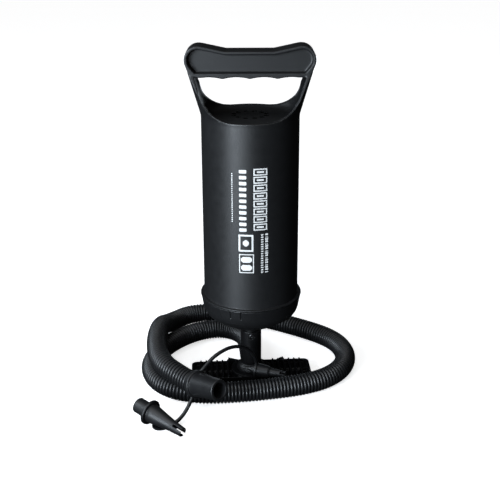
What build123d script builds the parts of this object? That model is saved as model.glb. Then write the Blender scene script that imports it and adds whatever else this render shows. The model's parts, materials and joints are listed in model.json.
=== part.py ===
from build123d import *
import os

os.makedirs("parts", exist_ok=True)

# Double action hand pump, closed: the barrel rests at the bottom of its stroke.
# Millimetres, +Z up, origin on the floor under the pump's axis, front of the pump towards -Y.
# A fixed piston stands on a hollow rod; the barrel slides over it and pumps both ways.

# ---------------------------------------------------------------- driving dimensions

total_height = 300.0  # floor to the top of the handle's ears
stroke = 95.0  # travel of the barrel on the fixed piston
gap = 0.05  # clearance of a running fit, and between parts that only touch

# barrel
bore_radius = 37.8
tube_top_radius = 40.5
tube_foot_radius = 41.1
lip_radius = 44.2
lip_bottom = 84.6
lip_top = 86.4
cup_floor = 243.4  # top of the wall that closes the barrel
cup_floor_thickness = 3.2
chamber_top = cup_floor - cup_floor_thickness

# handle
rim_bottom = 244.2  # lowest point of the U-shaped opening
arm_slope = 0.292  # outward lean of the arms, mm per mm of height
grip_half_depth = 12.0
grip_top = 295.5
grip_bottom = 274.1
recess_bottom = 278.6
ear_x = 41.3
ear_radius = 11.1
ear_z = total_height - ear_radius
finger_pitch = 22.0
finger_depth = 1.5
recess_wall = 2.4
grip_web = 10.4
grip_dip = 19.0  # half-width of the level stretch between the ears

# foot bar, turned a little about the axis
foot_yaw = 3.5
pad_height = 1.5
foot_length = 109.0
foot_depth = 32.0
foot_top = 7.2
pocket_floor = 4.6
cover_top = 3.25
hub_radius = 18.0
hub_top = 9.0
fin_first = 21.0
fin_pitch = 5.0
fin_count = 6
fin_thickness = 1.5
fin_top = 8.8

# pedestal and rod
pedestal_radius = 9.25
pedestal_top = 48.0
socket_bottom = 20.0
port_height = 10.3
port_radius = 6.8
port_length = 30.5
cuff_end = 31.0
rod_radius = 7.0
air_radius = 4.75
stem_screw_height = 44.0
screw_depth = 1.5  # the screw's head sits this deep in the pedestal's front

# piston, measured up from its lower face
piston_bottom = 216.5
piston_radius = 36.6
piston_wall_top = piston_bottom + 13.5
rod_top = piston_bottom + 11.0

# bottom cap and gland
cap_bottom = 58.3
cap_floor = 61.3
spigot_top = 92.0
seal_bottom = 87.4
boss_radius = 14.2
boss_top = 70.0
guide_radius = 11.95
guide_bottom = 62.5
bumper_height = 4.0
bumper_top = piston_bottom - stroke - 0.3
guide_top = bumper_top - bumper_height

# hose and what hangs on it
hose_radius = 9.4
hose_bore_radius = 7.9
tether_radius = 1.6
connector_centre = Vector(-45.8, -62.4, 27.2)  # middle of the connector's flange
connector_axis = Vector(0.654, -0.719, 0.232).normalized()
small_nozzle_centre = Vector(4.2, -19.0, 16.6)  # middle of the small nozzle's flange
small_nozzle_axis = Vector(0.974, -0.203, -0.085).normalized()
large_nozzle_centre = Vector(-84.0, -80.0, 11.0)  # middle of the large nozzle's flange
large_nozzle_axis = Vector(0.779, -0.612, -0.135).normalized()

foot_plane = Plane.XY.rotated((0, 0, foot_yaw))
foot_front = Plane(origin=(0, 0, 0), x_dir=foot_plane.x_dir, z_dir=-foot_plane.y_dir)


def foot_at(height):
    """The foot bar's own plane, raised to a height above the floor."""
    return foot_plane.offset(height)


def lathe_plane(centre, axis):
    """Plane for a turned profile drawn as (radius, distance along the axis)."""
    side = axis.cross(Vector(0, 0, 1)).normalized()
    return Plane(origin=centre, x_dir=side, z_dir=side.cross(axis))


def arc_radii(route):
    """The largest tangent arc that each corner of a cord's route has room for."""
    radii = []
    for before, corner, after in zip(route, route[1:], route[2:]):
        come = Vector(*corner) - Vector(*before)
        go = Vector(*after) - Vector(*corner)
        half_turn = come.get_angle(go) / 2
        radii.append(0.45 * min(come.length, go.length) / tan_degrees(half_turn))
    return radii


def tan_degrees(angle):
    """Tangent of an angle in degrees, from a unit vector turned by that angle."""
    turned = Vector(1, 0, 0).rotate(Axis.Z, angle)
    return turned.Y / turned.X


def tube_volume_check(name, solid, section_area, path_length):
    """Print a tube's volume against its section times its length."""
    print(name, "length", round(path_length, 1), "volume", round(solid.volume, 1))
    print(name, "section x length", round(section_area * path_length, 1))


# ---------------------------------------------------------------- foot bar

with BuildPart() as foot_plate:
    with BuildSketch(foot_at(pad_height)):
        RectangleRounded(foot_length, foot_depth, 5)
    extrude(amount=foot_top - pad_height)
    with BuildSketch(foot_at(pad_height)):
        Circle(hub_radius)
    extrude(amount=hub_top - pad_height)
    # open pockets in the two wings, inside a rim
    with BuildSketch(foot_at(pocket_floor)):
        RectangleRounded(foot_length - 5, foot_depth - 5, 3)
        Circle(hub_radius, mode=Mode.SUBTRACT)
    extrude(amount=foot_top, mode=Mode.SUBTRACT)
    # fins across each wing, and one round spine along it
    with BuildSketch(foot_at(pocket_floor)):
        for side in (-1, 1):
            for number in range(fin_count):
                with Locations((side * (fin_first + fin_pitch * number), 0)):
                    RectangleRounded(fin_thickness, foot_depth - 1.2, 0.7)
    extrude(amount=fin_top - pocket_floor)
    for side in (-1, 1):
        with Locations(foot_plane.location * Location((side * 35, 0, pocket_floor), (0, 90, 0))):
            Cylinder(1.9, foot_length - 72)
        with Locations(foot_plane.location * Location((side * 48.5, 0, pocket_floor))):
            Cylinder(3.4, 2 * (foot_top - pocket_floor))
    # a wedge rib at the back of each wing
    for start, end, top in ((-20.5, -9.0, 10.4), (31.0, 25.0, 9.8)):
        with BuildSketch(foot_front.offset(-14.5)):
            with BuildLine():
                Polyline(
                    (start, foot_top - 1),
                    (end, foot_top - 1),
                    (end, foot_top),
                    (start, top),
                    close=True,
                )
            make_face()
        extrude(amount=2.2, both=True)
    # recess for the bottom cover, seat for the pedestal's flange, way out for the air port
    with BuildSketch(foot_at(0)):
        RectangleRounded(foot_length - 4.6, foot_depth - 4.6, 3)
    extrude(amount=cover_top + gap, mode=Mode.SUBTRACT)
    with BuildSketch(foot_at(0)):
        Circle(12.7)
    extrude(amount=6.35, mode=Mode.SUBTRACT)
    with BuildSketch(foot_at(0)):
        Circle(pedestal_radius + gap)
    extrude(amount=hub_top + 5, mode=Mode.SUBTRACT)
    with BuildSketch(foot_front):
        with Locations((0, port_height)):
            Circle(port_radius + 0.2)
    extrude(amount=-foot_depth, mode=Mode.SUBTRACT)
    # pilot holes for the cover's screws
    with Locations(foot_plane.location * Location((0, 0, 3.0))):
        with Locations((-48.5, 0), (-15.3, 0), (15.3, 0), (48.5, 0)):
            Cylinder(1.15, 6.6, mode=Mode.SUBTRACT)
foot_plate.part.label = "foot_plate"
export_step(foot_plate.part, "parts/foot_plate.step")

with BuildPart() as base_cover:
    with BuildSketch(foot_at(pad_height)):
        RectangleRounded(foot_length - 5, foot_depth - 5, 3)
        with Locations((-48.5, 0), (-15.3, 0), (15.3, 0), (48.5, 0)):
            Circle(1.4, mode=Mode.SUBTRACT)
    extrude(amount=cover_top - pad_height)
    with BuildSketch(foot_at(pad_height)):
        with Locations((-48.5, 0), (-15.3, 0), (15.3, 0), (48.5, 0)):
            Circle(2.8)
    extrude(amount=1.1, mode=Mode.SUBTRACT)
base_cover.part.label = "base_cover"
export_step(base_cover.part, "parts/base_cover.step")

with BuildPart() as base_screws:
    with BuildSketch(foot_at(pad_height + 0.1)):
        with Locations((-48.5, 0), (-15.3, 0), (15.3, 0), (48.5, 0)):
            Circle(2.6)
    extrude(amount=1.0)
    with BuildSketch(foot_at(pad_height + 0.1)):
        with Locations((-48.5, 0), (-15.3, 0), (15.3, 0), (48.5, 0)):
            Circle(1.1)
    extrude(amount=4.4)
    with BuildSketch(foot_at(pad_height + 0.1)):
        with Locations((-48.5, 0), (-15.3, 0), (15.3, 0), (48.5, 0)):
            Rectangle(3.0, 0.7)
            Rectangle(0.7, 3.0)
    extrude(amount=0.6, mode=Mode.SUBTRACT)
base_screws.part.label = "base_screws"
export_step(base_screws.part, "parts/base_screws.step")

with BuildPart() as foot_pads:
    with BuildSketch(foot_at(0)):
        with GridLocations(80, 16.5, 2, 2):
            Circle(4.8)
    extrude(amount=pad_height)
foot_pads.part.label = "foot_pads"
export_step(foot_pads.part, "parts/foot_pads.step")

# ---------------------------------------------------------------- pedestal and rod

with BuildPart() as pedestal:
    with BuildSketch(foot_at(cover_top)):
        Circle(12.5)
    extrude(amount=3.0)
    with BuildSketch(foot_at(cover_top)):
        Circle(pedestal_radius)
    extrude(amount=pedestal_top - cover_top)
    # flared foot, standing on the hub
    with BuildSketch(Plane.XZ):
        with BuildLine():
            Line((0, hub_top), (13.0, hub_top))
            RadiusArc((13.0, hub_top), (pedestal_radius, hub_top + 6), -8)
            Line((pedestal_radius, hub_top + 6), (0, hub_top + 6))
            Line((0, hub_top + 6), (0, hub_top))
        make_face()
    revolve(axis=Axis.Z)
    with BuildSketch(foot_front):
        with Locations((0, port_height)):
            Circle(port_radius)
    extrude(amount=-port_length)
    # rod socket, air way down and out at the back
    with BuildSketch(foot_at(socket_bottom)):
        Circle(rod_radius + gap / 2)
    extrude(amount=pedestal_top, mode=Mode.SUBTRACT)
    with BuildSketch(foot_at(port_height - air_radius)):
        Circle(air_radius)
    extrude(amount=pedestal_top, mode=Mode.SUBTRACT)
    with BuildSketch(foot_front):
        with Locations((0, port_height)):
            Circle(air_radius)
    extrude(amount=-port_length, mode=Mode.SUBTRACT)
    with BuildSketch(foot_front.offset(4)):
        with Locations((0, stem_screw_height)):
            Circle(1.3)
    extrude(amount=10, mode=Mode.SUBTRACT)
    with BuildSketch(foot_front.offset(pedestal_radius - screw_depth)):
        with Locations((0, stem_screw_height)):
            Circle(2.4)
    extrude(amount=10, mode=Mode.SUBTRACT)
pedestal.part.label = "pedestal"
export_step(pedestal.part, "parts/pedestal.step")

with BuildPart() as piston_rod:
    with BuildSketch(Plane.XY.offset(socket_bottom + 2)):
        Circle(rod_radius)
        Circle(air_radius, mode=Mode.SUBTRACT)
    extrude(amount=rod_top - socket_bottom - 2)
    # cross holes that let the air in under the piston's lid
    with BuildSketch(Plane.XZ, Plane.YZ):
        with Locations((0, piston_bottom + 7)):
            Circle(2.0)
    extrude(amount=rod_radius + 1, both=True, mode=Mode.SUBTRACT)
    with BuildSketch(foot_front):
        with Locations((0, stem_screw_height)):
            Circle(1.3)
    extrude(amount=rod_radius + 1, mode=Mode.SUBTRACT)
piston_rod.part.label = "piston_rod"
export_step(piston_rod.part, "parts/piston_rod.step")

with BuildPart() as rod_o_ring:
    with BuildSketch(Plane.XY.offset(socket_bottom)):
        Circle(rod_radius - gap)
        Circle(air_radius + 0.2, mode=Mode.SUBTRACT)
    extrude(amount=2)
rod_o_ring.part.label = "rod_o_ring"
export_step(rod_o_ring.part, "parts/rod_o_ring.step")

with BuildPart() as stem_screw:
    screw_plane = foot_front.offset(pedestal_radius - screw_depth)
    with BuildSketch(screw_plane):
        with Locations((0, stem_screw_height)):
            Circle(2.2)
    extrude(amount=1.2)
    fillet(stem_screw.faces().sort_by(Axis.Y)[0].edges(), 0.5)
    with BuildSketch(screw_plane):
        with Locations((0, stem_screw_height)):
            Circle(1.2)
    extrude(amount=-2.7)
    with BuildSketch(screw_plane.offset(0.5)):
        with Locations((0, stem_screw_height)):
            Rectangle(2.4, 0.6)
            Rectangle(0.6, 2.4)
    extrude(amount=1.5, mode=Mode.SUBTRACT)
stem_screw.part.label = "stem_screw"
export_step(stem_screw.part, "parts/stem_screw.step")

# ---------------------------------------------------------------- piston on top of the rod

with BuildPart() as piston_cup:
    with BuildSketch(Plane.XY.offset(piston_bottom)):
        Circle(piston_radius)
        Circle(rod_radius + gap / 2, mode=Mode.SUBTRACT)
    extrude(amount=piston_wall_top - piston_bottom)
    with BuildSketch(Plane.XY.offset(piston_bottom + 3)):
        Circle(33.2)
        Circle(8.6, mode=Mode.SUBTRACT)
    extrude(amount=20, mode=Mode.SUBTRACT)
    with BuildSketch(Plane.XY.offset(piston_bottom + 5)):
        Circle(9)
        Circle(rod_radius + gap / 2, mode=Mode.SUBTRACT)
    extrude(amount=20, mode=Mode.SUBTRACT)
    # outlet holes from the lower chamber
    with BuildSketch(Plane.XY.offset(piston_bottom)):
        with PolarLocations(20, 8):
            Circle(2.6)
    extrude(amount=3, mode=Mode.SUBTRACT)
    # one groove for each seal
    for groove in (0.8, 9.4):
        with BuildSketch(Plane.XY.offset(piston_bottom + groove)):
            Circle(piston_radius)
            Circle(34.6, mode=Mode.SUBTRACT)
        extrude(amount=2.9, mode=Mode.SUBTRACT)
piston_cup.part.label = "piston_cup"
export_step(piston_cup.part, "parts/piston_cup.step")

with BuildPart() as valve_cage:
    with BuildSketch(Plane.XY.offset(piston_bottom + 5.6)):
        Circle(33.0)
        Circle(10.5, mode=Mode.SUBTRACT)
        with PolarLocations(27, 8, start_angle=22.5):
            Circle(4.2, mode=Mode.SUBTRACT)
        with PolarLocations(16.5, 8):
            Circle(3.6, mode=Mode.SUBTRACT)
    extrude(amount=4.8)
valve_cage.part.label = "valve_cage"
export_step(valve_cage.part, "parts/valve_cage.step")

with BuildPart() as lower_outlet_flap:
    with BuildSketch(Plane.XY.offset(piston_bottom + 3 + gap)):
        Circle(30)
        Circle(10.2, mode=Mode.SUBTRACT)
    extrude(amount=1.0)
lower_outlet_flap.part.label = "lower_outlet_flap"
export_step(lower_outlet_flap.part, "parts/lower_outlet_flap.step")

with BuildPart() as upper_outlet_flap:
    with BuildSketch(Plane.XY.offset(piston_bottom + 10.4 + gap)):
        Circle(30)
        Circle(10.2, mode=Mode.SUBTRACT)
    extrude(amount=1.0)
upper_outlet_flap.part.label = "upper_outlet_flap"
export_step(upper_outlet_flap.part, "parts/upper_outlet_flap.step")

with BuildPart() as rod_insert:
    with BuildSketch(Plane.XY.offset(piston_bottom - 2)):
        Circle(3.4)
    extrude(amount=rod_top - piston_bottom + 2)
    with BuildSketch(Plane.XY.offset(rod_top)):
        Circle(rod_radius)
    extrude(amount=1.5)
    with BuildSketch(Plane.XY.offset(piston_bottom + 1)):
        Circle(2.05)
    extrude(amount=20, mode=Mode.SUBTRACT)
rod_insert.part.label = "rod_insert"
export_step(rod_insert.part, "parts/rod_insert.step")

with BuildPart() as piston_lid:
    with BuildSketch(Plane.XY.offset(piston_wall_top)):
        Circle(piston_radius)
    extrude(amount=3.0)
    with BuildSketch(Plane.XY.offset(rod_top + 1.5)):
        Circle(9.2)
    extrude(amount=3.0)
    with BuildSketch(Plane.XY.offset(piston_bottom + 15)):
        Circle(8.2)
    extrude(amount=3.0, mode=Mode.SUBTRACT)
    with BuildSketch(Plane.XY.offset(piston_bottom)):
        Circle(2.2)
        with PolarLocations(20, 8):
            Circle(2.6)
    extrude(amount=20, mode=Mode.SUBTRACT)
piston_lid.part.label = "piston_lid"
export_step(piston_lid.part, "parts/piston_lid.step")

with BuildPart() as piston_washer:
    with BuildSketch(Plane.XY.offset(piston_bottom + 15)):
        Circle(7.6)
        Circle(2.2, mode=Mode.SUBTRACT)
    extrude(amount=0.8)
piston_washer.part.label = "piston_washer"
export_step(piston_washer.part, "parts/piston_washer.step")

with BuildPart() as piston_screw:
    with BuildSketch(Plane.XY.offset(piston_bottom + 15.8)):
        Circle(4.4)
    extrude(amount=2.4)
    with BuildSketch(Plane.XY.offset(piston_bottom + 2)):
        Circle(2.0)
    extrude(amount=13.8)
    with BuildSketch(Plane.XY.offset(piston_bottom + 16.8)):
        Rectangle(5.0, 1.0)
        Rectangle(1.0, 5.0)
    extrude(amount=2, mode=Mode.SUBTRACT)
piston_screw.part.label = "piston_screw"
export_step(piston_screw.part, "parts/piston_screw.step")

with BuildPart() as lower_piston_seal:
    with BuildSketch(Plane.XZ):
        with BuildLine():
            Polyline(
                (34.7, piston_bottom + 3.5),
                (36.4, piston_bottom + 3.5),
                (37.5, piston_bottom + 1.0),
                (36.9, piston_bottom + 0.9),
                (35.8, piston_bottom + 2.4),
                (34.7, piston_bottom + 1.0),
                close=True,
            )
        make_face()
    revolve(axis=Axis.Z)
lower_piston_seal.part.label = "lower_piston_seal"
export_step(lower_piston_seal.part, "parts/lower_piston_seal.step")

with BuildPart() as upper_piston_seal:
    with BuildSketch(Plane.XZ):
        with BuildLine():
            Polyline(
                (34.7, piston_bottom + 9.6),
                (36.4, piston_bottom + 9.6),
                (37.5, piston_bottom + 12.1),
                (36.9, piston_bottom + 12.2),
                (35.8, piston_bottom + 10.7),
                (34.7, piston_bottom + 12.1),
                close=True,
            )
        make_face()
    revolve(axis=Axis.Z)
upper_piston_seal.part.label = "upper_piston_seal"
export_step(upper_piston_seal.part, "parts/upper_piston_seal.step")

# ---------------------------------------------------------------- barrel with its handle


def arm_radius(height):
    """Outer radius of the flared wall above the tube."""
    return tube_top_radius + 0.7 + arm_slope * (height - 246.6)


with BuildPart() as barrel:
    # tube, lip and flared wall, turned in one profile
    with BuildSketch(Plane.XZ):
        with BuildLine():
            Polyline(
                (0, cup_floor),
                (0, chamber_top),
                (bore_radius, chamber_top),
                (bore_radius, lip_bottom),
                (lip_radius, lip_bottom),
                (lip_radius, lip_top - 0.4),
                (lip_radius - 0.4, lip_top),
                (tube_foot_radius + 0.4, lip_top + 0.3),
                (tube_foot_radius, lip_top + 0.9),
                (tube_top_radius, 242.0),
                (tube_top_radius + 0.15, 244.6),
                (arm_radius(248), 248.0),
                (arm_radius(279), 279.0),
                (arm_radius(279) - 3.6, 279.0),
                (arm_radius(279) - 5.6, 270.0),
                (38.2, cup_floor + 7),
            )
            RadiusArc((38.2, cup_floor + 7), (31.5, cup_floor), 7.2)
            Line((31.5, cup_floor), (0, cup_floor))
        make_face()
    revolve(axis=Axis.Z)
    # U-shaped opening, seen from the front
    with BuildSketch(Plane.XZ):
        with Locations((-14, 268), (14, 268)):
            Ellipse(27.7, 268 - rim_bottom)
        with Locations((0, 268)):
            Rectangle(28, 2 * (268 - rim_bottom))
        with BuildLine():
            Polyline(
                (-41.5, 266.5),
                (41.5, 266.5),
                (44.7, 276),
                (44.7, 284),
                (-44.7, 284),
                (-44.7, 276),
                close=True,
            )
        make_face()
    extrude(amount=60, both=True, mode=Mode.SUBTRACT)
    # the arms narrow from the tube's width to the grip's depth
    with BuildSketch(Plane.YZ):
        for side in (-1, 1):
            with BuildLine():
                Polyline(
                    (side * 33, 245),
                    (side * 24, 256),
                    (side * 17.2, 267),
                    (side * grip_half_depth, 277),
                    (side * grip_half_depth, 300),
                    (side * 60, 300),
                    (side * 60, 245),
                    close=True,
                )
            make_face()
    extrude(amount=60, both=True, mode=Mode.SUBTRACT)
    # grip: two round ears joined by a bar with finger scallops
    with BuildSketch(Plane.XZ):
        with BuildLine():
            CenterArc((ear_x, ear_z), ear_radius, 0, 360)
            Line((grip_dip, grip_top), (grip_dip, grip_bottom + 6))
            Line((grip_dip, grip_bottom), (48.0, grip_bottom + 1.5))
        make_hull()
        mirror(about=Plane.YZ)
        with Locations((0, (grip_top + grip_bottom) / 2)):
            Rectangle(2 * grip_dip, grip_top - grip_bottom)
        scallop_radius = (finger_pitch**2 / 4 + finger_depth**2) / (2 * finger_depth)
        for number in (-1.5, -0.5, 0.5, 1.5):
            with Locations((number * finger_pitch, grip_bottom + finger_depth - scallop_radius)):
                Circle(scallop_radius, mode=Mode.SUBTRACT)
    extrude(amount=grip_half_depth, both=True)
    # recess on both faces of the grip, leaving a web in the middle
    for side in (-1, 1):
        with BuildSketch(Plane.XZ.offset(side * grip_half_depth)):
            with BuildLine():
                CenterArc((ear_x, ear_z), ear_radius - recess_wall, 0, 360)
                Line((grip_dip, grip_top - recess_wall), (grip_dip, grip_bottom + 6))
                Line((grip_dip, recess_bottom), (44.0, recess_bottom))
            make_hull()
            mirror(about=Plane.YZ)
            with Locations((0, (grip_top - recess_wall + recess_bottom) / 2)):
                Rectangle(2 * grip_dip, grip_top - recess_wall - recess_bottom)
        extrude(amount=-side * (grip_half_depth - grip_web / 2), mode=Mode.SUBTRACT)
    # air holes in the cup floor, and the stub that holds the inlet valve under it
    with BuildSketch(Plane.XY.offset(cup_floor)):
        with PolarLocations(13.6, 12, start_angle=15):
            Circle(1.6)
    extrude(amount=-cup_floor_thickness, mode=Mode.SUBTRACT)
    with BuildSketch(Plane.XY.offset(chamber_top - 4)):
        Circle(2.5)
    extrude(amount=4)
barrel.part.label = "barrel"
export_step(barrel.part, "parts/barrel.step")

with BuildPart() as top_inlet_flap:
    with BuildSketch(Plane.XY.offset(237.8)):
        Circle(19)
        Circle(8.6, mode=Mode.SUBTRACT)
    extrude(amount=1.0)
top_inlet_flap.part.label = "top_inlet_flap"
export_step(top_inlet_flap.part, "parts/top_inlet_flap.step")

with BuildPart() as top_flap_retainer:
    with BuildSketch(Plane.XY.offset(236.6)):
        Circle(12.5)
        with PolarLocations(10.4, 6):
            Circle(1.2, mode=Mode.SUBTRACT)
    extrude(amount=1.15)
    with BuildSketch(Plane.XY.offset(236.6)):
        Circle(8.0)
    extrude(amount=chamber_top - 236.6)
    with BuildSketch(Plane.XY.offset(236.6)):
        Circle(2.5 + gap)
    extrude(amount=5, mode=Mode.SUBTRACT)
top_flap_retainer.part.label = "top_flap_retainer"
export_step(top_flap_retainer.part, "parts/top_flap_retainer.step")

# ---------------------------------------------------------------- bottom cap and gland

with BuildPart() as bottom_cap:
    with BuildSketch(Plane.XZ):
        with BuildLine():
            Polyline(
                (11.0, cap_bottom),
                (25.0, cap_bottom + 0.4),
                (33.6, 64.0),
                (38.8, 67.8),
                (41.0, 71.2),
                (41.9, 74.0),
                (42.4, 76.4),
                (43.7, 84.0),
                (43.7, lip_bottom),
                (bore_radius - gap, lip_bottom),
                (bore_radius - gap, spigot_top),
                (34.4, spigot_top),
                (34.4, 70.4),
                (27.4, 63.4),
                (25.6, cap_floor),
                (boss_radius, cap_floor),
                (boss_radius, boss_top),
                (guide_radius + gap, boss_top),
                (guide_radius + gap, guide_bottom),
                (11.0, guide_bottom),
                close=True,
            )
        make_face()
    revolve(axis=Axis.Z)
    # air slots in the floor, under the flap
    with BuildSketch(Plane.XY.offset(cap_bottom - 1)):
        with PolarLocations(19.5, 10):
            SlotOverall(6.0, 2.6)
    extrude(amount=6, mode=Mode.SUBTRACT)
    # groove for the seal that closes the spigot in the barrel's bore
    with BuildSketch(Plane.XY.offset(seal_bottom)):
        Circle(40)
        Circle(36.4, mode=Mode.SUBTRACT)
    extrude(amount=2.1, mode=Mode.SUBTRACT)
    # lock tab between two grooves, a mark rib and a key slot on the band
    for angle in (-113.8, -101.4):
        with Locations(Location((0, 0, 80.4), (0, 0, angle)) * Location((43.4, 0, 0), (0, 9.5, 0))):
            Box(2.4, 1.0, 7.4, mode=Mode.SUBTRACT)
    with Locations(Location((0, 0, 80.2), (0, 0, -126.6)) * Location((42.8, 0, 0), (0, 9.5, 0))):
        Box(1.2, 0.8, 6.4)
    with Locations(Location((0, 0, 80.2), (0, 0, -29.4)) * Location((43.8, 0, 0))):
        Box(2.6, 1.4, 5.4, mode=Mode.SUBTRACT)
bottom_cap.part.label = "bottom_cap"
export_step(bottom_cap.part, "parts/bottom_cap.step")

with BuildPart() as cap_seal:
    with BuildSketch(Plane.XY.offset(seal_bottom + gap)):
        Circle(bore_radius - gap)
        Circle(36.4 + gap, mode=Mode.SUBTRACT)
    extrude(amount=2.0)
cap_seal.part.label = "cap_seal"
export_step(cap_seal.part, "parts/cap_seal.step")

with BuildPart() as seal_retainer:
    with BuildSketch(Plane.XY.offset(cap_bottom)):
        Circle(10.95)
        Circle(rod_radius + 0.4, mode=Mode.SUBTRACT)
    extrude(amount=1.2)
seal_retainer.part.label = "seal_retainer"
export_step(seal_retainer.part, "parts/seal_retainer.step")

with BuildPart() as rod_seal:
    with BuildSketch(Plane.XY.offset(cap_bottom + 1.3)):
        Circle(10.92)
        Circle(rod_radius + gap, mode=Mode.SUBTRACT)
    extrude(amount=2.7)
rod_seal.part.label = "rod_seal"
export_step(rod_seal.part, "parts/rod_seal.step")

with BuildPart() as rod_guide:
    with BuildSketch(Plane.XY.offset(guide_bottom)):
        Circle(guide_radius)
        Circle(rod_radius + gap, mode=Mode.SUBTRACT)
    extrude(amount=guide_top - guide_bottom)
rod_guide.part.label = "rod_guide"
export_step(rod_guide.part, "parts/rod_guide.step")

with BuildPart() as bumper:
    with BuildSketch(Plane.XY.offset(guide_top)):
        Circle(guide_radius)
        Circle(rod_radius + 0.4, mode=Mode.SUBTRACT)
    extrude(amount=bumper_height)
bumper.part.label = "bumper"
export_step(bumper.part, "parts/bumper.step")

with BuildPart() as bottom_inlet_flap:
    with BuildSketch(Plane.XY.offset(cap_floor + gap)):
        Circle(24.6)
        Circle(boss_radius + 0.4, mode=Mode.SUBTRACT)
    extrude(amount=1.0)
bottom_inlet_flap.part.label = "bottom_inlet_flap"
export_step(bottom_inlet_flap.part, "parts/bottom_inlet_flap.step")

with BuildPart() as bottom_flap_retainer:
    with BuildSketch(Plane.XY.offset(63.9)):
        Circle(18)
        Circle(boss_radius + gap, mode=Mode.SUBTRACT)
    extrude(amount=1.2)
bottom_flap_retainer.part.label = "bottom_flap_retainer"
export_step(bottom_flap_retainer.part, "parts/bottom_flap_retainer.step")

# ---------------------------------------------------------------- hose, connector and nozzles

with BuildPart() as hose_cuff:
    with BuildSketch(foot_front.offset(-19.5)):
        with Locations((0, port_height)):
            Circle(9.3)
            Circle(port_radius + gap, mode=Mode.SUBTRACT)
    extrude(amount=-(cuff_end - 19.5))
hose_cuff.part.label = "hose_cuff"
export_step(hose_cuff.part, "parts/hose_cuff.step")

port_end = foot_plane.location * Location((0, cuff_end, port_height))
hose_start = port_end.position
hose_end = connector_centre - 4.5 * connector_axis

hose_route = [
    hose_start,
    (-2.8, 44.0, 10.0),
    (-6.2, 59.5, 9.6),
    (-15.0, 71.5, 9.4),
    (-30.0, 77.2, 9.4),
    (-49.0, 73.0, 9.4),
    (-65.8, 60.8, 9.4),
    (-80.0, 43.0, 9.4),
    (-90.0, 21.0, 9.4),
    (-92.4, -2.6, 9.4),
    (-83.6, -26.2, 9.4),
    (-65.8, -41.4, 9.4),
    (-41.4, -47.7, 9.4),
    (-14.0, -46.0, 9.4),
    (17.0, -40.8, 9.4),
    (45.3, -33.7, 9.4),
    (67.8, -22.2, 9.4),
    (83.0, -4.6, 9.4),
    (89.3, 16.6, 9.4),
    (86.4, 38.0, 9.4),
    (77.4, 54.4, 9.4),
    (62.6, 68.2, 9.4),
    (42.0, 82.2, 9.4),
    (14.0, 99.2, 9.4),
    (-16.0, 110.4, 9.4),
    (-43.5, 114.6, 9.4),
    (-64.4, 109.6, 9.4),
    (-77.0, 95.2, 9.8),
    (-83.4, 76.0, 15.6),
    (-86.2, 53.5, 25.4),
    (-87.4, 31.0, 29.8),
    (-87.0, 8.5, 29.6),
    (-83.2, -15.2, 29.2),
    (-75.0, -33.8, 28.9),
    (-63.4, -46.5, 28.0),
    (-55.2, -53.6, 26.6),
    hose_end,
]
hose_radii = arc_radii(hose_route)
print("hose radii", [round(radius, 1) for radius in hose_radii])

with BuildPart() as hose:
    with BuildLine():
        hose_path = FilletPolyline(*hose_route, radius=hose_radii)
    with BuildSketch(Plane(origin=hose_path @ 0, z_dir=hose_path % 0)) as hose_section:
        Circle(hose_radius)
        Circle(hose_bore_radius, mode=Mode.SUBTRACT)
    sweep(path=hose_path)
tube_volume_check("hose", hose.part, hose_section.sketch.area, hose_path.length)
hose.part.label = "hose"
export_step(hose.part, "parts/hose.step")

with BuildPart() as hose_connector:
    with BuildSketch(lathe_plane(connector_centre, connector_axis)):
        with BuildLine():
            Polyline(
                (5.0, -4.5),
                (10.4, -4.5),
                (10.4, -2.0),
                (11.4, -2.0),
                (12.0, -1.4),
                (12.0, 1.4),
                (11.4, 2.0),
                (10.3, 2.0),
                (9.4, 16.0),
                (8.8, 30.0),
                (8.4, 30.6),
                (6.5, 30.6),
                (6.5, 8.6),
                (5.0, 8.6),
                close=True,
            )
        make_face()
    revolve(axis=Axis(connector_centre, connector_axis))
hose_connector.part.label = "hose_connector"
export_step(hose_connector.part, "parts/hose_connector.step")

with BuildPart() as small_nozzle:
    with BuildSketch(lathe_plane(small_nozzle_centre, small_nozzle_axis)):
        with BuildLine():
            Polyline(
                (0, -12.0),
                (0.9, -12.0),
                (2.1, -3.6),
                (4.2, -3.6),
                (4.2, -1.2),
                (6.9, -1.2),
                (7.3, -0.8),
                (7.3, 0.8),
                (6.9, 1.2),
                (6.2, 1.2),
                (5.2, 11.0),
                (4.6, 12.5),
                (3.9, 12.5),
                (2.7, 27.0),
                (1.7, 27.0),
                (1.7, 2.0),
                (0, 2.0),
                close=True,
            )
        make_face()
    revolve(axis=Axis(small_nozzle_centre, small_nozzle_axis))
    with Locations(lathe_plane(small_nozzle_centre + 25 * small_nozzle_axis, small_nozzle_axis)):
        Box(8, 6, 1.8, rotation=(0, -45, 0), mode=Mode.SUBTRACT)
small_nozzle.part.label = "small_nozzle"
export_step(small_nozzle.part, "parts/small_nozzle.step")

with BuildPart() as large_nozzle:
    with BuildSketch(lathe_plane(large_nozzle_centre, large_nozzle_axis)):
        with BuildLine():
            Polyline(
                (4.8, -14.5),
                (6.1, -14.5),
                (6.65, -13.9),
                (6.65, -1.4),
                (10.1, -1.4),
                (10.7, -0.8),
                (10.7, 0.8),
                (10.1, 1.4),
                (7.9, 1.4),
                (7.8, 4.5),
                (4.9, 24.0),
                (3.9, 36.5),
                (2.6, 36.5),
                (2.9, 24.0),
                (4.8, 4.0),
                close=True,
            )
        make_face()
    revolve(axis=Axis(large_nozzle_centre, large_nozzle_axis))
    with Locations(lathe_plane(large_nozzle_centre + 32.5 * large_nozzle_axis, large_nozzle_axis)):
        Box(12, 10, 2.0, rotation=(0, -55, 0), mode=Mode.SUBTRACT)
large_nozzle.part.label = "large_nozzle"
export_step(large_nozzle.part, "parts/large_nozzle.step")

# ---------------------------------------------------------------- tethers

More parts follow.
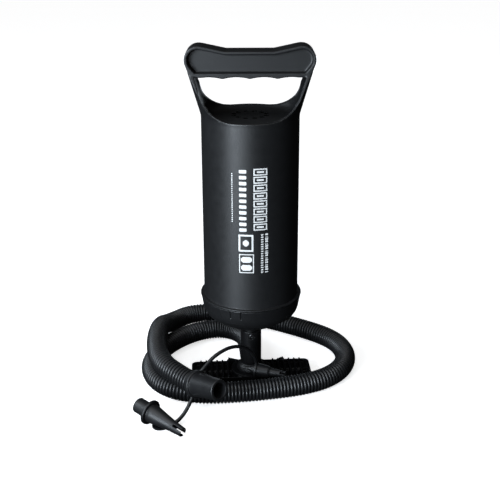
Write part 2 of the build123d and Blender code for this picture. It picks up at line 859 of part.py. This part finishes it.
small_tether_route = [
    (-42.8, -56.8, 35.9),
    (-36.0, -51.4, 42.8),
    (-27.2, -44.4, 47.6),
    (-17.0, -36.0, 48.7),
    (-7.5, -28.8, 45.0),
    (-0.5, -23.4, 37.6),
    (3.6, -20.2, 29.8),
    (4.6, -19.0, 23.6),
]
small_tether_radii = arc_radii(small_tether_route)
print("small tether radii", [round(radius, 1) for radius in small_tether_radii])

with BuildPart() as small_tether:
    with BuildLine():
        small_tether_path = FilletPolyline(*small_tether_route, radius=small_tether_radii)
    with BuildSketch(Plane(origin=small_tether_path @ 0, z_dir=small_tether_path % 0)) as small_section:
        Circle(tether_radius)
    sweep(path=small_tether_path)
tube_volume_check("small tether", small_tether.part, small_section.sketch.area, small_tether_path.length)
small_tether.part.label = "small_tether"
export_step(small_tether.part, "parts/small_tether.step")

large_tether_route = [
    (-49.4, -68.6, 18.4),
    (-52.6, -73.6, 12.6),
    (-56.8, -78.2, 7.2),
    (-61.4, -81.4, 3.3),
    (-65.6, -83.4, 1.7),
    (-69.8, -84.4, 1.6),
]
large_tether_radii = arc_radii(large_tether_route)
print("large tether radii", [round(radius, 1) for radius in large_tether_radii])

with BuildPart() as large_tether:
    with BuildLine():
        large_tether_path = FilletPolyline(*large_tether_route, radius=large_tether_radii)
    with BuildSketch(Plane(origin=large_tether_path @ 0, z_dir=large_tether_path % 0)) as large_section:
        Circle(tether_radius)
    sweep(path=large_tether_path)
tube_volume_check("large tether", large_tether.part, large_section.sketch.area, large_tether_path.length)
large_tether.part.label = "large_tether"
export_step(large_tether.part, "parts/large_tether.step")

with BuildPart() as tether_ring:
    with BuildSketch(Plane.XY.offset(0.1)):
        with Locations((-75.6, -83.8)):
            Circle(7.0)
            Circle(2.4, mode=Mode.SUBTRACT)
    extrude(amount=1.6)
tether_ring.part.label = "tether_ring"
export_step(tether_ring.part, "parts/tether_ring.step")
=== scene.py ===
"""Looks of the double action hand pump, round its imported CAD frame. Metres, +Z up, front towards -Y."""
import json
from math import cos, pi, radians, sin, tau

import bmesh
import bpy
from mathutils import Matrix, Vector


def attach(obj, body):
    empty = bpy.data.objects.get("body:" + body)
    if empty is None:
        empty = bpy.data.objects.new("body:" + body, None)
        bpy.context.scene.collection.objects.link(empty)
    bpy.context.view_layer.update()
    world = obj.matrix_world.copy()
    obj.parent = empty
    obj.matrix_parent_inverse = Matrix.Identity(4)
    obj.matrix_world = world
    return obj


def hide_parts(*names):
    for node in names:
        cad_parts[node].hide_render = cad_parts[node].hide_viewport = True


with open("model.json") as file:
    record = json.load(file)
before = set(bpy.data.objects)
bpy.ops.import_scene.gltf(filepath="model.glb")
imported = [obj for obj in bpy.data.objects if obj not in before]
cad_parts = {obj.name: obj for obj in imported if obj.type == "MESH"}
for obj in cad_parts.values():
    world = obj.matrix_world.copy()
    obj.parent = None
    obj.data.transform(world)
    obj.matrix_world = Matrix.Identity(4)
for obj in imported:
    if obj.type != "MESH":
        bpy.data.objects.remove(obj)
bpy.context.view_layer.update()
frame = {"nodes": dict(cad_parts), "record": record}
nodes = frame["nodes"]
MM = 0.001

# ------------------------------------------------------------------ places taken over from the CAD model

HOSE_START = Vector((-1.89, 30.94, 10.3)) * MM
CONNECTOR_CENTRE = Vector((-45.8, -62.4, 27.2)) * MM
CONNECTOR_AXIS = Vector((0.654, -0.719, 0.232)).normalized()
HOSE_END = CONNECTOR_CENTRE - 4.5 * MM * CONNECTOR_AXIS
HOSE_RADIUS = 9.4 * MM
STRAP_RADIUS = 1.6 * MM

HOSE_ROUTE = [
    HOSE_START,
    (-0.0028, 0.0440, 0.0100),
    (-0.0062, 0.0595, 0.0096),
    (-0.0150, 0.0715, 0.0094),
    (-0.0300, 0.0772, 0.0094),
    (-0.0490, 0.0730, 0.0094),
    (-0.0658, 0.0608, 0.0094),
    (-0.0800, 0.0430, 0.0094),
    (-0.0900, 0.0210, 0.0094),
    (-0.0924, -0.0026, 0.0094),
    (-0.0836, -0.0262, 0.0094),
    (-0.0658, -0.0414, 0.0094),
    (-0.0414, -0.0477, 0.0094),
    (-0.0140, -0.0460, 0.0094),
    (0.0170, -0.0408, 0.0094),
    (0.0453, -0.0337, 0.0094),
    (0.0678, -0.0222, 0.0094),
    (0.0830, -0.0046, 0.0094),
    (0.0893, 0.0166, 0.0094),
    (0.0864, 0.0380, 0.0094),
    (0.0774, 0.0544, 0.0094),
    (0.0626, 0.0682, 0.0094),
    (0.0420, 0.0822, 0.0094),
    (0.0140, 0.0992, 0.0094),
    (-0.0160, 0.1104, 0.0094),
    (-0.0435, 0.1146, 0.0094),
    (-0.0644, 0.1096, 0.0094),
    (-0.0770, 0.0952, 0.0098),
    (-0.0834, 0.0760, 0.0156),
    (-0.0862, 0.0535, 0.0254),
    (-0.0874, 0.0310, 0.0298),
    (-0.0870, 0.0085, 0.0296),
    (-0.0832, -0.0152, 0.0292),
    (-0.0750, -0.0338, 0.0289),
    (-0.0634, -0.0465, 0.0280),
    (-0.0552, -0.0536, 0.0266),
    HOSE_END,
]
SMALL_STRAP_ROUTE = [
    (-0.0428, -0.0568, 0.0359),
    (-0.0360, -0.0514, 0.0428),
    (-0.0272, -0.0444, 0.0476),
    (-0.0170, -0.0360, 0.0487),
    (-0.0075, -0.0288, 0.0450),
    (-0.0005, -0.0234, 0.0376),
    (0.0036, -0.0202, 0.0298),
    (0.0046, -0.0190, 0.0236),
]
LARGE_STRAP_ROUTE = [
    (-0.0494, -0.0686, 0.0184),
    (-0.0526, -0.0736, 0.0126),
    (-0.0568, -0.0782, 0.0072),
    (-0.0614, -0.0814, 0.0033),
    (-0.0656, -0.0834, 0.0017),
    (-0.0698, -0.0844, 0.0016),
]

# ------------------------------------------------------------------ camera, light and floor

CAMERA_PLACE = (-0.00065, -0.688, 0.3954)
CAMERA_TILT = radians(68.48)  # 0 looks straight down, 90 degrees straight ahead
CAMERA_ROLL = radians(-0.22)
SENSOR_WIDTH = 36.0
FOCAL_LENGTH = 61.2  # millimetres, as the sensor's width

FLOOR_SIZE = 30
FLOOR_GREY = 0.86
FLOOR_GLOW = 0.70  # seen by the camera alone, so the floor stays white without lighting the object
SURROUNDINGS = 0.009  # strength of the world as light; the camera sees it at full strength
MIDDLE = (0, 0, 0.15)  # of the object
COOL_WHITE = (0.90, 1.0, 1.10)


def make_camera():
    """Camera at the photograph's height, distance and tilt."""
    data = bpy.data.cameras.new("camera")
    data.sensor_width = SENSOR_WIDTH
    data.lens = FOCAL_LENGTH
    camera = bpy.data.objects.new("camera", data)
    camera.location = CAMERA_PLACE
    tilt = Matrix.Rotation(CAMERA_TILT, 3, "X")
    roll = Matrix.Rotation(CAMERA_ROLL, 3, "Z")
    camera.rotation_euler = (tilt @ roll).to_euler()
    bpy.context.scene.collection.objects.link(camera)
    bpy.context.scene.camera = camera


def area_light(name, place, target, size, power):
    """A soft, cool rectangular light at a place, aimed at a target."""
    data = bpy.data.lights.new(name, "AREA")
    data.shape = "RECTANGLE"
    data.size, data.size_y = size
    data.energy = power
    data.color = COOL_WHITE
    light = bpy.data.objects.new(name, data)
    light.location = place
    light.rotation_euler = (Vector(target) - Vector(place)).to_track_quat("-Z", "Y").to_euler()
    bpy.context.scene.collection.objects.link(light)


def sun_light(name, direction, strength, softness):
    """A broad, far light that shines along a direction; softness in degrees."""
    data = bpy.data.lights.new(name, "SUN")
    data.energy = strength
    data.angle = radians(softness)
    light = bpy.data.objects.new(name, data)
    light.rotation_euler = Vector(direction).to_track_quat("-Z", "Y").to_euler()
    bpy.context.scene.collection.objects.link(light)


def make_floor():
    """A plain white floor that stays white into the distance."""
    bpy.ops.mesh.primitive_plane_add(size=FLOOR_SIZE)
    floor = bpy.context.object
    floor.name = "floor"
    material = bpy.data.materials.new("floor_paper")
    material.use_nodes = True
    tree = material.node_tree
    tree.nodes.clear()
    paper = tree.nodes.new("ShaderNodeBsdfDiffuse")
    paper.inputs["Color"].default_value = (FLOOR_GREY, FLOOR_GREY, FLOOR_GREY, 1)
    glow = tree.nodes.new("ShaderNodeEmission")
    path = tree.nodes.new("ShaderNodeLightPath")
    lift = tree.nodes.new("ShaderNodeMath")
    lift.operation = "MULTIPLY"
    lift.inputs[1].default_value = FLOOR_GLOW
    both = tree.nodes.new("ShaderNodeAddShader")
    out = tree.nodes.new("ShaderNodeOutputMaterial")
    tree.links.new(path.outputs["Is Camera Ray"], lift.inputs[0])
    tree.links.new(lift.outputs[0], glow.inputs["Strength"])
    tree.links.new(paper.outputs[0], both.inputs[0])
    tree.links.new(glow.outputs[0], both.inputs[1])
    tree.links.new(both.outputs[0], out.inputs["Surface"])
    floor.data.materials.append(material)
    # the black plastic would show the white floor as a pale film
    floor.visible_glossy = False
    floor.visible_diffuse = False


def make_world():
    """Dim grey surroundings, white where the camera looks straight at them."""
    world = bpy.data.worlds.new("studio")
    bpy.context.scene.world = world
    world.use_nodes = True
    tree = world.node_tree
    background = tree.nodes["Background"]
    path = tree.nodes.new("ShaderNodeLightPath")
    level = tree.nodes.new("ShaderNodeMapRange")
    level.inputs["To Min"].default_value = SURROUNDINGS
    level.inputs["To Max"].default_value = 1.0
    tree.links.new(path.outputs["Is Camera Ray"], level.inputs["Value"])
    tree.links.new(level.outputs[0], background.inputs["Strength"])
    background.inputs["Color"].default_value = (1, 1, 1, 1)


def make_studio():
    """Everything round the object."""
    make_camera()
    make_world()
    make_floor()
    area_light("key_light", (-0.80, -1.10, 0.40), MIDDLE, size=(0.50, 0.8), power=25)
    area_light("front_light", (-0.30, -1.2, 0.20), MIDDLE, size=(0.4, 0.5), power=2.2)
    area_light("side_light", (-1.2, -0.1, 0.9), (0, 0, 0.1), size=(0.6, 0.6), power=7)
    area_light("top_light", (-0.6, -0.7, 1.5), (0, 0, 0.2), size=(0.9, 0.9), power=2.0)
    area_light("back_light", (0.2, 1.9, 0.10), MIDDLE, size=(1.2, 0.3), power=1.5)
    sun_light("floor_light", (0.12, 0.25, -1.0), strength=1.0, softness=60)
    view = bpy.context.scene.view_settings
    view.view_transform = "Standard"
    view.look = "None"


# ------------------------------------------------------------------ materials

DARKER, LIGHTER = 0.88, 1.14  # the colour's mottling
MOTTLE_SIZE = 9 * MM
GLOSS_PATCH_SIZE = 6 * MM
GLOSS_SPREAD = 0.035  # how far the roughness strays either way
NOISE_LOW, NOISE_HIGH = 0.3, 0.7  # nearly all of a noise texture's values lie between these

# painted shade in the hose's valleys: its gloss grows up the side of a rib, whose height goes from 0 in
# the valley to 1 on the crest
SHADE_FADES_FROM, SHADE_GONE_AT = 0.35, 0.85
SHADED_VALLEY_GLOSS, CREST_GLOSS = 0.02, 0.55


def moulded_plastic(name, colour, roughness, grain_size=0.45 * MM, grain_depth=0.012 * MM, gloss=0.5):
    """Moulded plastic: fine spark-eroded grain, faint colour mottling and patches of changing gloss."""
    material = bpy.data.materials.new(name)
    material.use_nodes = True
    tree = material.node_tree
    shader = tree.nodes["Principled BSDF"]
    place = tree.nodes.new("ShaderNodeTexCoord")

    def noise(size, detail):
        texture = tree.nodes.new("ShaderNodeTexNoise")
        texture.inputs["Scale"].default_value = 1 / size
        texture.inputs["Detail"].default_value = detail
        tree.links.new(place.outputs["Object"], texture.inputs["Vector"])
        return texture.outputs["Fac"]

    def ranged(value, low, high):
        node = tree.nodes.new("ShaderNodeMapRange")
        node.inputs["From Min"].default_value = NOISE_LOW
        node.inputs["From Max"].default_value = NOISE_HIGH
        node.inputs["To Min"].default_value = low
        node.inputs["To Max"].default_value = high
        tree.links.new(value, node.inputs["Value"])
        return node.outputs["Result"]

    tint = tree.nodes.new("ShaderNodeMix")
    tint.data_type = "RGBA"
    tint.inputs["A"].default_value = (*[channel * DARKER for channel in colour], 1)
    tint.inputs["B"].default_value = (*[channel * LIGHTER for channel in colour], 1)
    tree.links.new(noise(MOTTLE_SIZE, detail=4), tint.inputs["Factor"])
    tree.links.new(tint.outputs["Result"], shader.inputs["Base Color"])
    patches = noise(GLOSS_PATCH_SIZE, detail=3)
    matt = ranged(patches, roughness - GLOSS_SPREAD, roughness + GLOSS_SPREAD)
    tree.links.new(matt, shader.inputs["Roughness"])
    grain = tree.nodes.new("ShaderNodeBump")
    grain.inputs["Strength"].default_value = 1.0
    grain.inputs["Distance"].default_value = grain_depth
    tree.links.new(noise(grain_size, detail=2), grain.inputs["Height"])
    tree.links.new(grain.outputs["Normal"], shader.inputs["Normal"])
    shader.inputs["Specular IOR Level"].default_value = gloss
    return material


def valley_shaded_plastic(name, colour, roughness):
    """Hose plastic with painted shade in the valleys between the ribs, where its specular level drops."""
    material = moulded_plastic(name, colour, roughness, grain_depth=0.004 * MM)
    tree = material.node_tree
    crest = tree.nodes.new("ShaderNodeAttribute")
    crest.attribute_name = "crest"
    valley_shade = tree.nodes.new("ShaderNodeMapRange")
    valley_shade.inputs["From Min"].default_value = SHADE_FADES_FROM
    valley_shade.inputs["From Max"].default_value = SHADE_GONE_AT
    valley_shade.inputs["To Min"].default_value = SHADED_VALLEY_GLOSS
    valley_shade.inputs["To Max"].default_value = CREST_GLOSS
    shader = tree.nodes["Principled BSDF"]
    # painted shade: the specular level follows the rib height, low in the valleys
    tree.links.new(crest.outputs["Fac"], valley_shade.inputs["Value"])
    tree.links.new(valley_shade.outputs["Result"], shader.inputs["Specular IOR Level"])
    return material


def metal(name, colour, roughness):
    """Plated screw metal with faint turning marks."""
    material = moulded_plastic(name, colour, roughness, grain_size=0.25 * MM, grain_depth=0.006 * MM)
    material.node_tree.nodes["Principled BSDF"].inputs["Metallic"].default_value = 1.0
    return material


MATERIALS = {
    "body_plastic": moulded_plastic("body_plastic", (0.0085, 0.0088, 0.0095), 0.44),
    "cap_plastic": moulded_plastic("cap_plastic", (0.0075, 0.0078, 0.0084), 0.42),
    "foot_plastic": moulded_plastic("foot_plastic", (0.0025, 0.0025, 0.003), 0.42, gloss=0.2),
    "pedestal_plastic": moulded_plastic("pedestal_plastic", (0.004, 0.004, 0.0045), 0.40, gloss=0.35),
    "rod_plastic": moulded_plastic("rod_plastic", (0.004, 0.004, 0.0045), 0.34),
    "inner_plastic": moulded_plastic("inner_plastic", (0.05, 0.05, 0.052), 0.45),
    "pad_rubber": moulded_plastic("pad_rubber", (0.02, 0.02, 0.02), 0.70),
    "seal_rubber": moulded_plastic("seal_rubber", (0.006, 0.006, 0.006), 0.75, gloss=0.12),
    "screw_steel": metal("screw_steel", (0.20, 0.20, 0.205), 0.32),
    # the hose's plastic carries painted shade in its valleys
    "hose_plastic": valley_shaded_plastic("hose_plastic", (0.008, 0.0083, 0.009), 0.38),
    "nozzle_plastic": moulded_plastic("nozzle_plastic", (0.008, 0.0083, 0.009), 0.42),
    "tether_plastic": moulded_plastic("tether_plastic", (0.006, 0.0062, 0.0068), 0.38),
}
PRINT_INK = moulded_plastic("print_ink", (0.78, 0.78, 0.77), 0.55)
# painted shade inside the cup floor's air holes
HOLE_SHADE = moulded_plastic("hole_shade", (0.002, 0.002, 0.002), 0.80, gloss=0.03)


def paint_frame():
    """Gives every CAD node the material of its slot in the record."""
    slot_of = {row["node"]: row["material_slot"] for row in frame["record"]["subparts"]}
    for name, piece in nodes.items():
        piece.data.materials.clear()
        piece.data.materials.append(MATERIALS[slot_of[name]])


# ------------------------------------------------------------------ mesh helpers

LINE_RESOLUTION = 24  # steps along each stretch of a route


def add_mesh(name, points, faces, slot, body, *replaced, material=None):
    """A smooth-shaded mesh piece riding on a body in place of CAD nodes; its slot gives the material."""
    mesh = bpy.data.meshes.new(name)
    mesh.from_pydata(points, [], faces)
    mesh.validate()
    mesh.materials.append(material or MATERIALS[slot])
    piece = bpy.data.objects.new(name, mesh)
    bpy.context.scene.collection.objects.link(piece)
    work = bmesh.new()
    work.from_mesh(mesh)
    bmesh.ops.recalc_face_normals(work, faces=work.faces)
    work.to_mesh(mesh)
    work.free()
    mesh.shade_smooth()
    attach(piece, body)
    if replaced:
        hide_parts(*replaced)
    return piece


def nurbs_line(name, route):
    """Points along the smooth NURBS line that has the route as its control points."""
    data = bpy.data.curves.new(name + "_line", "CURVE")
    data.dimensions = "3D"
    data.resolution_u = LINE_RESOLUTION
    spline = data.splines.new("NURBS")
    spline.points.add(len(route) - 1)
    for point, place in zip(spline.points, route):
        point.co = (*place, 1)
    spline.order_u = 3
    spline.use_endpoint_u = True
    line = bpy.data.objects.new(name + "_line", data)
    mesh = bpy.data.meshes.new_from_object(line)
    points = [vertex.co.copy() for vertex in mesh.vertices]
    bpy.data.meshes.remove(mesh)
    bpy.data.objects.remove(line)
    bpy.data.curves.remove(data)
    return points


class Line:
    """A polyline that can be asked for the place and the frame at a distance along it."""

    def __init__(self, points):
        self.points = points
        self.reach = [0.0]
        for before, after in zip(points, points[1:]):
            self.reach.append(self.reach[-1] + (after - before).length)
        self.length = self.reach[-1]
        # a frame carried along without twisting
        tangents = []
        for before, after in zip(points[:1] + points, points[1:] + points[-1:]):
            tangents.append((after - before).normalized())
        side = tangents[0].cross(Vector((0, 0, 1))).normalized()
        self.tangents, self.sides = tangents, [side]
        for tangent in tangents[1:]:
            side = (side - side.dot(tangent) * tangent).normalized()
            self.sides.append(side)
        self.index = 0

    def at(self, distance):
        """Place, side and up vectors at a distance along the line."""
        while self.index > 0 and self.reach[self.index] > distance:
            self.index -= 1
        while self.index < len(self.points) - 2 and self.reach[self.index + 1] < distance:
            self.index += 1
        low, high = self.reach[self.index], self.reach[self.index + 1]
        share = (distance - low) / (high - low)
        place = self.points[self.index].lerp(self.points[self.index + 1], share)
        side = self.sides[self.index].lerp(self.sides[self.index + 1], share).normalized()
        tangent = self.tangents[self.index].lerp(self.tangents[self.index + 1], share).normalized()
        return place, side, tangent.cross(side).normalized()


def tube_along(line, stations, around):
    """Points and faces of a closed tube through stations of (distance, radius)."""
    points, faces = [], []
    for distance, radius in stations:
        place, side, up = line.at(distance)
        for turn in range(around):
            angle = tau * turn / around
            points.append(place + radius * (cos(angle) * side + sin(angle) * up))
    for ring in range(len(stations) - 1):
        for turn in range(around):
            following = (turn + 1) % around
            low, high = ring * around, (ring + 1) * around
            faces.append((low + turn, low + following, high + following, high + turn))
    faces.append(tuple(range(around))[::-1])
    last = (len(stations) - 1) * around
    faces.append(tuple(range(last, last + around)))
    return points, faces


def lathe(profile, centre, around):
    """Points and faces of a shape turned from a closed profile of (radius, height) in millimetres."""
    points, faces = [], []
    count = len(profile)
    for turn in range(around):
        angle = tau * turn / around
        outward = Vector((cos(angle), sin(angle), 0))
        for radius, height in profile:
            points.append(centre + (radius * MM) * outward + Vector((0, 0, height * MM)))
    for turn in range(around):
        here, there = turn * count, ((turn + 1) % around) * count
        for step in range(count):
            following = (step + 1) % count
            faces.append((here + step, there + step, there + following, here + following))
    return points, faces


SHARP = 0.02  # a corner with less room than this, in millimetres, stays sharp
SIDE_SHARE = 0.45  # the most of a side that one corner may take
CORNER_STEPS = 4


def rounded(profile):
    """Rounds the corners of a closed profile of (radius, height, reach of the corner) in millimetres."""
    result = []
    count = len(profile)
    for index, (radius, height, reach) in enumerate(profile):
        corner = Vector((radius, height))
        before = Vector(profile[index - 1][:2]) - corner
        after = Vector(profile[(index + 1) % count][:2]) - corner
        cut = min(reach, before.length * SIDE_SHARE, after.length * SIDE_SHARE)
        if cut < SHARP:
            result.append(tuple(corner))
            continue
        start = corner + before.normalized() * cut
        end = corner + after.normalized() * cut
        for step in range(CORNER_STEPS + 1):
            share = step / CORNER_STEPS
            mixed = (1 - share) ** 2 * start + 2 * share * (1 - share) * corner + share**2 * end
            result.append(tuple(mixed))
    return result


# ------------------------------------------------------------------ mouldings with rounded edges

CUT_MARGIN = 8 * MM  # extra length below a cut, which the mesh loses again after rounding
MERGE_DISTANCE = 0.001 * MM

# piece, CAD node, slot, body, voxel size in millimetres, smoothing passes (more make rounder edges)
SOFTENED = [
    ("cap_moulding", "bottom_cap", "cap_plastic", "barrel", 0.30, 2),
    ("pedestal_moulding", "pedestal", "pedestal_plastic", "base", 0.30, 4),
    ("foot_moulding", "foot_plate", "foot_plastic", "base", 0.35, 3),
    ("connector_moulding", "hose_connector", "nozzle_plastic", "base", 0.25, 4),
    ("small_nozzle_moulding", "small_nozzle", "nozzle_plastic", "base", 0.20, 3),
    ("large_nozzle_moulding", "large_nozzle", "nozzle_plastic", "base", 0.25, 4),
]


def cut_below(work, height):
    """Removes everything below a height from a mesh."""
    everything = work.verts[:] + work.edges[:] + work.faces[:]
    place = (0, 0, height)
    bmesh.ops.bisect_plane(work, geom=everything, plane_co=place, plane_no=(0, 0, 1), clear_inner=True)


def softened_mesh(node, voxel, passes, keep_above=None):
    """A CAD node's shape with a moulding's rounded edges, whole or only above a height."""
    work = bmesh.new()
    work.from_mesh(nodes[node].data)
    bmesh.ops.remove_doubles(work, verts=work.verts, dist=MERGE_DISTANCE)
    if keep_above is not None:
        cut_below(work, keep_above - CUT_MARGIN)
        bmesh.ops.holes_fill(work, edges=[edge for edge in work.edges if edge.is_boundary], sides=0)
    mesh = bpy.data.meshes.new(node + "_sharp")
    work.to_mesh(mesh)
    work.free()
    piece = bpy.data.objects.new(node + "_sharp", mesh)
    bpy.context.scene.collection.objects.link(piece)
    remesh = piece.modifiers.new("remesh", "REMESH")
    remesh.mode = "VOXEL"
    remesh.voxel_size = voxel * MM
    soften = piece.modifiers.new("soften", "SMOOTH")
    soften.factor = 0.5
    soften.iterations = passes
    graph = bpy.context.evaluated_depsgraph_get()
    soft = bpy.data.meshes.new_from_object(piece.evaluated_get(graph))
    bpy.data.objects.remove(piece)
    bpy.data.meshes.remove(mesh)
    if keep_above is not None:
        work = bmesh.new()
        work.from_mesh(soft)
        cut_below(work, keep_above)
        work.to_mesh(soft)
        work.free()
    return soft


def add_softened(name, node, slot, body, voxel, passes):
    """A rounded moulding that stands for a CAD node."""
    soft = softened_mesh(node, voxel, passes)
    soft.materials.clear()
    soft.materials.append(MATERIALS[slot])
    piece = bpy.data.objects.new(name, soft)
    bpy.context.scene.collection.objects.link(piece)
    soft.shade_smooth()
    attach(piece, body)
    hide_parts(node)
    return piece


# ------------------------------------------------------------------ barrel, its print and the painted shade in its air holes

# radii and heights in millimetres
BORE_RADIUS = 37.8
LIP_RADIUS = 44.2
LIP_BOTTOM, LIP_TOP = 85.3, 86.2
TUBE_FOOT_RADIUS = 41.1
TUBE_SEAM_RADIUS = 40.52
SEAM_HEIGHT = 236.0  # the handle's own softened mesh above, the turned tube below
SAME_HEIGHT = 1e-6  # metres
BARREL_AROUND = 160

INK_RADIUS = TUBE_FOOT_RADIUS + 0.03  # just outside the tube, at INK_FOOT
INK_FOOT = 87.3
INK_TAPER = 0.6 / 154.7  # loss of radius per millimetre of height, as the tube's
DEGREE = 0.71  # millimetres round the barrel
PATCH_STEP = 1.5  # degrees, at most, between the points that bend a patch of ink round the barrel

AIR_HOLES = 12
AIR_HOLE_CIRCLE = 13.6
AIR_HOLE_START = 15  # degrees
# dark sleeves of painted shade inside the air holes
SHADE_SLEEVE_PROFILE = [(1.3, 240.6), (1.3, 243.3), (2.1, 243.3), (2.1, 240.6)]
SHADE_SLEEVE_AROUND = 24


def make_barrel():
    """The whole barrel moulding: handle above, turned tube and lip below."""
    handle = softened_mesh("barrel", voxel=0.5, passes=8, keep_above=SEAM_HEIGHT * MM)
    profile = [
        (BORE_RADIUS, SEAM_HEIGHT, 0),
        (BORE_RADIUS, LIP_BOTTOM, 0.3),
        (LIP_RADIUS, LIP_BOTTOM, 0.25),
        (LIP_RADIUS, LIP_TOP, 0.5),
        (TUBE_FOOT_RADIUS, LIP_TOP, 0.15),
        (TUBE_SEAM_RADIUS, SEAM_HEIGHT, 0),
    ]
    points, faces = lathe(rounded(profile), Vector((0, 0, 0)), BARREL_AROUND)
    # the ring that would close the top at the seam is left out
    at_seam = [point.z > SEAM_HEIGHT * MM - SAME_HEIGHT for point in points]
    open_faces = [face for face in faces if not all(at_seam[index] for index in face)]
    barrel = add_mesh("barrel_moulding", points, open_faces, "body_plastic", "barrel", "barrel")
    work = bmesh.new()
    work.from_mesh(barrel.data)
    work.from_mesh(handle)
    work.to_mesh(barrel.data)
    work.free()
    bpy.data.meshes.remove(handle)
    barrel.data.shade_smooth()


def barrel_point(angle, height):
    """A place on the barrel's outside: degrees round it, 0 in front, and millimetres above the floor."""
    radius = INK_RADIUS - INK_TAPER * (height - INK_FOOT)
    turn = radians(angle)
    return Vector((radius * sin(turn), -radius * cos(turn), height)) * MM


def make_print():
    """Plain bars, blocks and frames in white ink, where the real pump has its printed data."""
    points, faces = [], []

    def patch(left, right, low, high, corner=0.0):
        """A block of ink between two angles in degrees and two heights, with or without cut corners."""
        columns = max(2, int((right - left) / PATCH_STEP) + 1)
        inset = corner / DEGREE
        rows = [(left, right, low), (left, right, high)]
        if corner:
            rows = [
                (left + inset, right - inset, low),
                (left, right, low + corner),
                (left, right, high - corner),
                (left + inset, right - inset, high),
            ]
        start = len(points)
        for row_left, row_right, height in rows:
            for column in range(columns + 1):
                angle = row_left + (row_right - row_left) * column / columns
                points.append(barrel_point(angle, height))
        for row in range(len(rows) - 1):
            for column in range(columns):
                here = start + row * (columns + 1) + column
                faces.append((here, here + 1, here + columns + 2, here + columns + 1))

    def frame_of(left, right, low, high, line):
        """An outline of ink, its line in millimetres."""
        side = line / DEGREE
        patch(left, right, low, low + line)
        patch(left, right, high - line, high)
        patch(left, left + side, low + line, high - line)
        patch(right - side, right, low + line, high - line)

    # a column of eight large blocks, each an outline round a bar
    for number in range(8):
        low = 157.0 + 6.6 * number
        frame_of(left=3.2, right=19.0, low=low, high=low + 5.7, line=1.0)
        patch(left=7.0, right=15.2, low=low + 2.1, high=low + 3.6)
    # a narrower column of solid bars
    for number in range(11):
        low = 156.0 + 4.9 * number
        patch(left=-13.2, right=-4.8, low=low, high=low + 2.9, corner=0.5)
    # a thread of small dashes
    for number in range(24):
        low = 163.5 + 1.75 * number
        patch(left=-22.1, right=-20.8, low=low, high=low + 1.05)
    # two square frames with plain marks in them
    frame_of(left=-14.2, right=3.0, low=138.6, high=153.4, line=1.5)
    patch(left=-9.2, right=-2.2, low=143.2, high=148.8, corner=1.8)
    frame_of(left=-13.6, right=3.6, low=119.6, high=136.4, line=0.8)
    patch(left=-11.4, right=1.4, low=121.8, high=126.9, corner=1.6)
    patch(left=-11.4, right=1.4, low=128.9, high=134.0, corner=1.6)
    # two columns of fine dashes, every third one thinner in the second
    for number in range(17):
        low = 119.6 + 2.05 * number
        patch(left=11.8, right=14.6, low=low, high=low + 1.1)
        patch(left=16.8, right=20.2, low=low, high=low + (1.5 if number % 3 else 0.8))
    add_mesh("print_marks", points, faces, "body_plastic", "barrel", material=PRINT_INK)


def make_air_hole_shade():
    """Dark sleeves of painted shade in the air holes of the cup floor, where little light gets in."""
    points, faces = [], []
    for number in range(AIR_HOLES):
        angle = radians(AIR_HOLE_START + 360 / AIR_HOLES * number)
        centre = Vector((cos(angle), sin(angle), 0)) * AIR_HOLE_CIRCLE * MM
        ring_points, ring_faces = lathe(SHADE_SLEEVE_PROFILE, centre, SHADE_SLEEVE_AROUND)
        start = len(points)
        points += ring_points
        faces += [tuple(start + index for index in face) for face in ring_faces]
    shade_sleeves = add_mesh("air_hole_painted_shade", points, faces, "body_plastic", "barrel", material=HOLE_SHADE)
    shade_sleeves.data.shade_flat()


# ------------------------------------------------------------------ hose and tethers

RIB_PITCH = 3.0 * MM
RIB_VALLEY = 7.8 * MM
RIB_FULLNESS = 0.6  # below 1 the ribs are full and the valleys narrow
RIB_STEPS = 10
HOSE_AROUND = 40
STRAP_STEPS = 60
STRAP_AROUND = 20


def make_hose():
    """Corrugated hose: rounded ribs between narrow valleys, along its whole route."""
    points = nurbs_line("hose", HOSE_ROUTE)
    line = Line(points)
    steps = round(line.length / RIB_PITCH) * RIB_STEPS
    stations, crests = [], []
    for step in range(steps + 1):
        phase = (step % RIB_STEPS) / RIB_STEPS
        swell = abs(sin(pi * phase)) ** RIB_FULLNESS
        stations.append((line.length * step / steps, RIB_VALLEY + (HOSE_RADIUS - RIB_VALLEY) * swell))
        crests += [swell] * HOSE_AROUND
    tube_points, tube_faces = tube_along(line, stations, HOSE_AROUND)
    hose = add_mesh("corrugated_hose", tube_points, tube_faces, "hose_plastic", "base", "hose")
    hose.data.attributes.new("crest", "FLOAT", "POINT").data.foreach_set("value", crests)
    return hose, points


def make_tether(name, route, node):
    """A thin moulded strap, round in section."""
    points = nurbs_line(name, route)
    line = Line(points)
    stations = [(line.length * step / STRAP_STEPS, STRAP_RADIUS) for step in range(STRAP_STEPS + 1)]
    tube_points, tube_faces = tube_along(line, stations, STRAP_AROUND)
    return add_mesh(name, tube_points, tube_faces, "tether_plastic", "base", node), points


# ------------------------------------------------------------------ build

make_studio()
paint_frame()
make_barrel()
make_print()
make_air_hole_shade()
mouldings = {row[0]: add_softened(*row) for row in SOFTENED}
hose, hose_points = make_hose()
small_strap, small_points = make_tether("small_strap", SMALL_STRAP_ROUTE, "small_tether")
large_strap, large_points = make_tether("large_strap", LARGE_STRAP_ROUTE, "large_tether")
